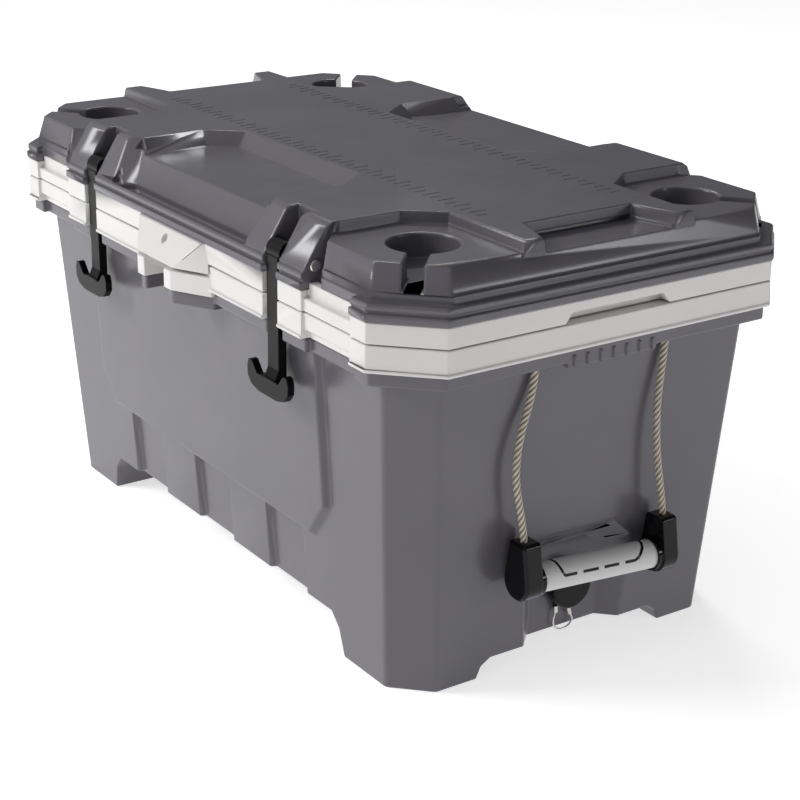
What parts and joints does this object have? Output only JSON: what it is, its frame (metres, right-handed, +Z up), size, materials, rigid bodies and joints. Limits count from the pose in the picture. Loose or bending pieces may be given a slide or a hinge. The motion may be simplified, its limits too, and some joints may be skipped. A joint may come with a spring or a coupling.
{
  "type": "hard-sided cooler",
  "caption": "Hard-sided moulded cooler with a hinged lid, rubber T latches, corner cup holders, rope handles and a drain.",
  "frame": {"origin": "on the ground, under the middle of the object's length and of its depth from the lid's nose to the hinges", "axes": "+X along the length towards the drain, +Y towards the hinges, +Z up; the latches are on -Y"},
  "size_m": [0.83, 0.524, 0.455],
  "materials": {
    "dark_plastic": "satin moulded",
    "light_plastic": "satin moulded",
    "black_plastic": "glossy",
    "grip_plastic": "matt",
    "foam": "foamed",
    "rubber": "satin",
    "steel": "bright",
    "rope": "twisted cord"
  },
  "bodies": {
    "body": {"body_shell": "dark_plastic", "body_foam": "foam", "body_liner": "light_plastic", "drain_bushing": "black_plastic", "drain_gasket": "rubber", "hinge_bracket_left": "black_plastic", "hinge_bracket_right": "black_plastic", "hinge_screws": "steel", "rope_ends_left": "rope", "rope_ends_right": "rope"},
    "lid": {"lid_shell": "dark_plastic", "lid_foam": "foam", "lid_liner": "light_plastic", "lid_gasket": "rubber", "latch_pin_left": "steel", "latch_pin_right": "steel", "hinge_pin_left": "steel", "hinge_pin_right": "steel"},
    "latch_left": {"latch_left": "rubber"},
    "latch_right": {"latch_right": "rubber"},
    "handle_left": {"rope_left": "rope", "grip_left": "grip_plastic", "cap_left_front": "black_plastic", "cap_left_rear": "black_plastic"},
    "handle_right": {"rope_right": "rope", "grip_right": "grip_plastic", "cap_right_front": "black_plastic", "cap_right_rear": "black_plastic"},
    "drain_collar": {"tether_collar": "rubber", "tether_ferrules": "steel", "tether_loop": "steel"},
    "drain_cap": {"drain_cap": "black_plastic"}
  },
  "joints": [
    {"name": "lid_hinge", "type": "hinge", "parent": "body", "child": "lid", "pos_m": [0, 0.253, 0.383], "axis": [-1, 0, 0], "range_deg": [0, 100]},
    {"name": "latch_left_hinge", "type": "hinge", "parent": "lid", "child": "latch_left", "pos_m": [-0.195, -0.223, 0.416], "axis": [-1, 0, 0], "range_deg": [0, 170]},
    {"name": "latch_right_hinge", "type": "hinge", "parent": "lid", "child": "latch_right", "pos_m": [0.195, -0.223, 0.416], "axis": [-1, 0, 0], "range_deg": [0, 170]},
    {"name": "handle_left_swing", "type": "hinge", "parent": "body", "child": "handle_left", "pos_m": [-0.3925, 0.01, 0.326], "axis": [0, 1, 0], "range_deg": [0, 90]},
    {"name": "handle_right_swing", "type": "hinge", "parent": "body", "child": "handle_right", "pos_m": [0.3925, 0.01, 0.326], "axis": [0, -1, 0], "range_deg": [0, 90]},
    {"name": "drain_slide", "type": "slide", "parent": "body", "child": "drain_collar", "axis": [1, 0, 0], "range_m": [0, 0.01]},
    {"name": "drain_turn", "type": "hinge", "parent": "drain_collar", "child": "drain_cap", "pos_m": [0.355, 0.01, 0.07], "axis": [-1, 0, 0], "range_deg": [0, 900]}
  ],
  "couplings": [
    {"joint": "drain_slide", "follows": "drain_turn", "m_per_rad": 0.00063662}
  ]
}
